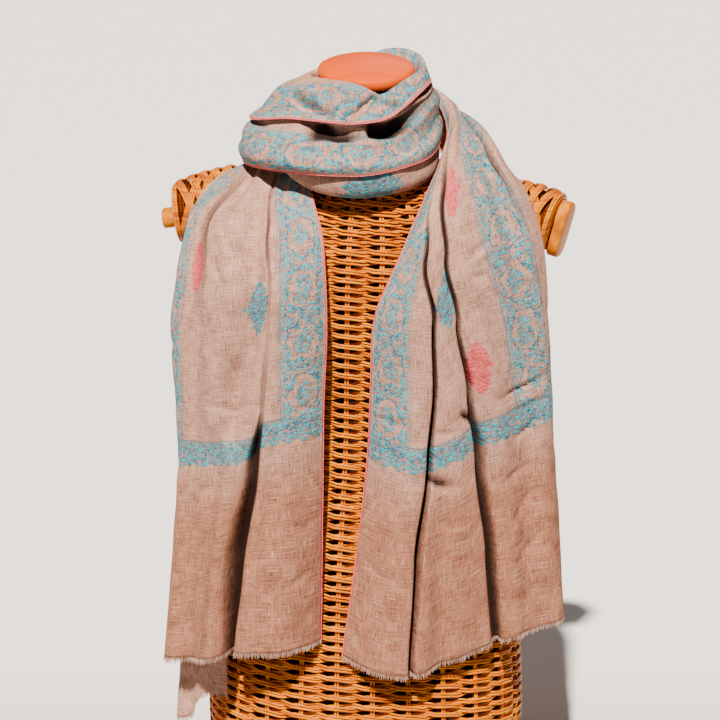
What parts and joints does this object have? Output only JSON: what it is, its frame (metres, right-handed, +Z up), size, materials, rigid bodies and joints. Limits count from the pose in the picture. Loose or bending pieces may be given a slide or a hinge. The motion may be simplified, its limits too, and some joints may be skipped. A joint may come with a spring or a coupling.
{
  "type": "pashmina shawl on a wicker dress form",
  "caption": "Fine wool shawl with flower-band embroidery and short fringe, wound once round the neck of a limbless wicker dress form, both ends hanging in front.",
  "frame": {"origin": "centre of the bounding box's base, on the surface that the dress form stands on", "axes": "+Z up; the form faces -Y; +X is the viewer's right"},
  "size_m": [0.4331, 0.256, 0.7862],
  "materials": {
    "wool": "soft slubby rose-beige wool with teal and coral embroidery, low sheen",
    "fringe": "short loose ends of the same yarn",
    "cane": "varnished round cane, satin gloss",
    "cap": "turned wood under a glossy orange-tan lacquer",
    "plate": "varnished wood, satin"
  },
  "bodies": {
    "root": {"shawl_front_wrap": "wool", "shawl_turned_edge": "wool", "shawl_cowl": "wool", "shawl_nape_wrap": "wool", "shawl_left_end": "wool", "shawl_left_under_layer": "wool", "shawl_right_end": "wool", "shawl_left_fringe": "fringe", "shawl_left_under_fringe": "fringe", "shawl_right_fringe": "fringe", "form_torso": "cane", "form_neck_cap": "cap", "form_shoulder_plate_left": "plate", "form_shoulder_plate_right": "plate"}
  },
  "joints": []
}
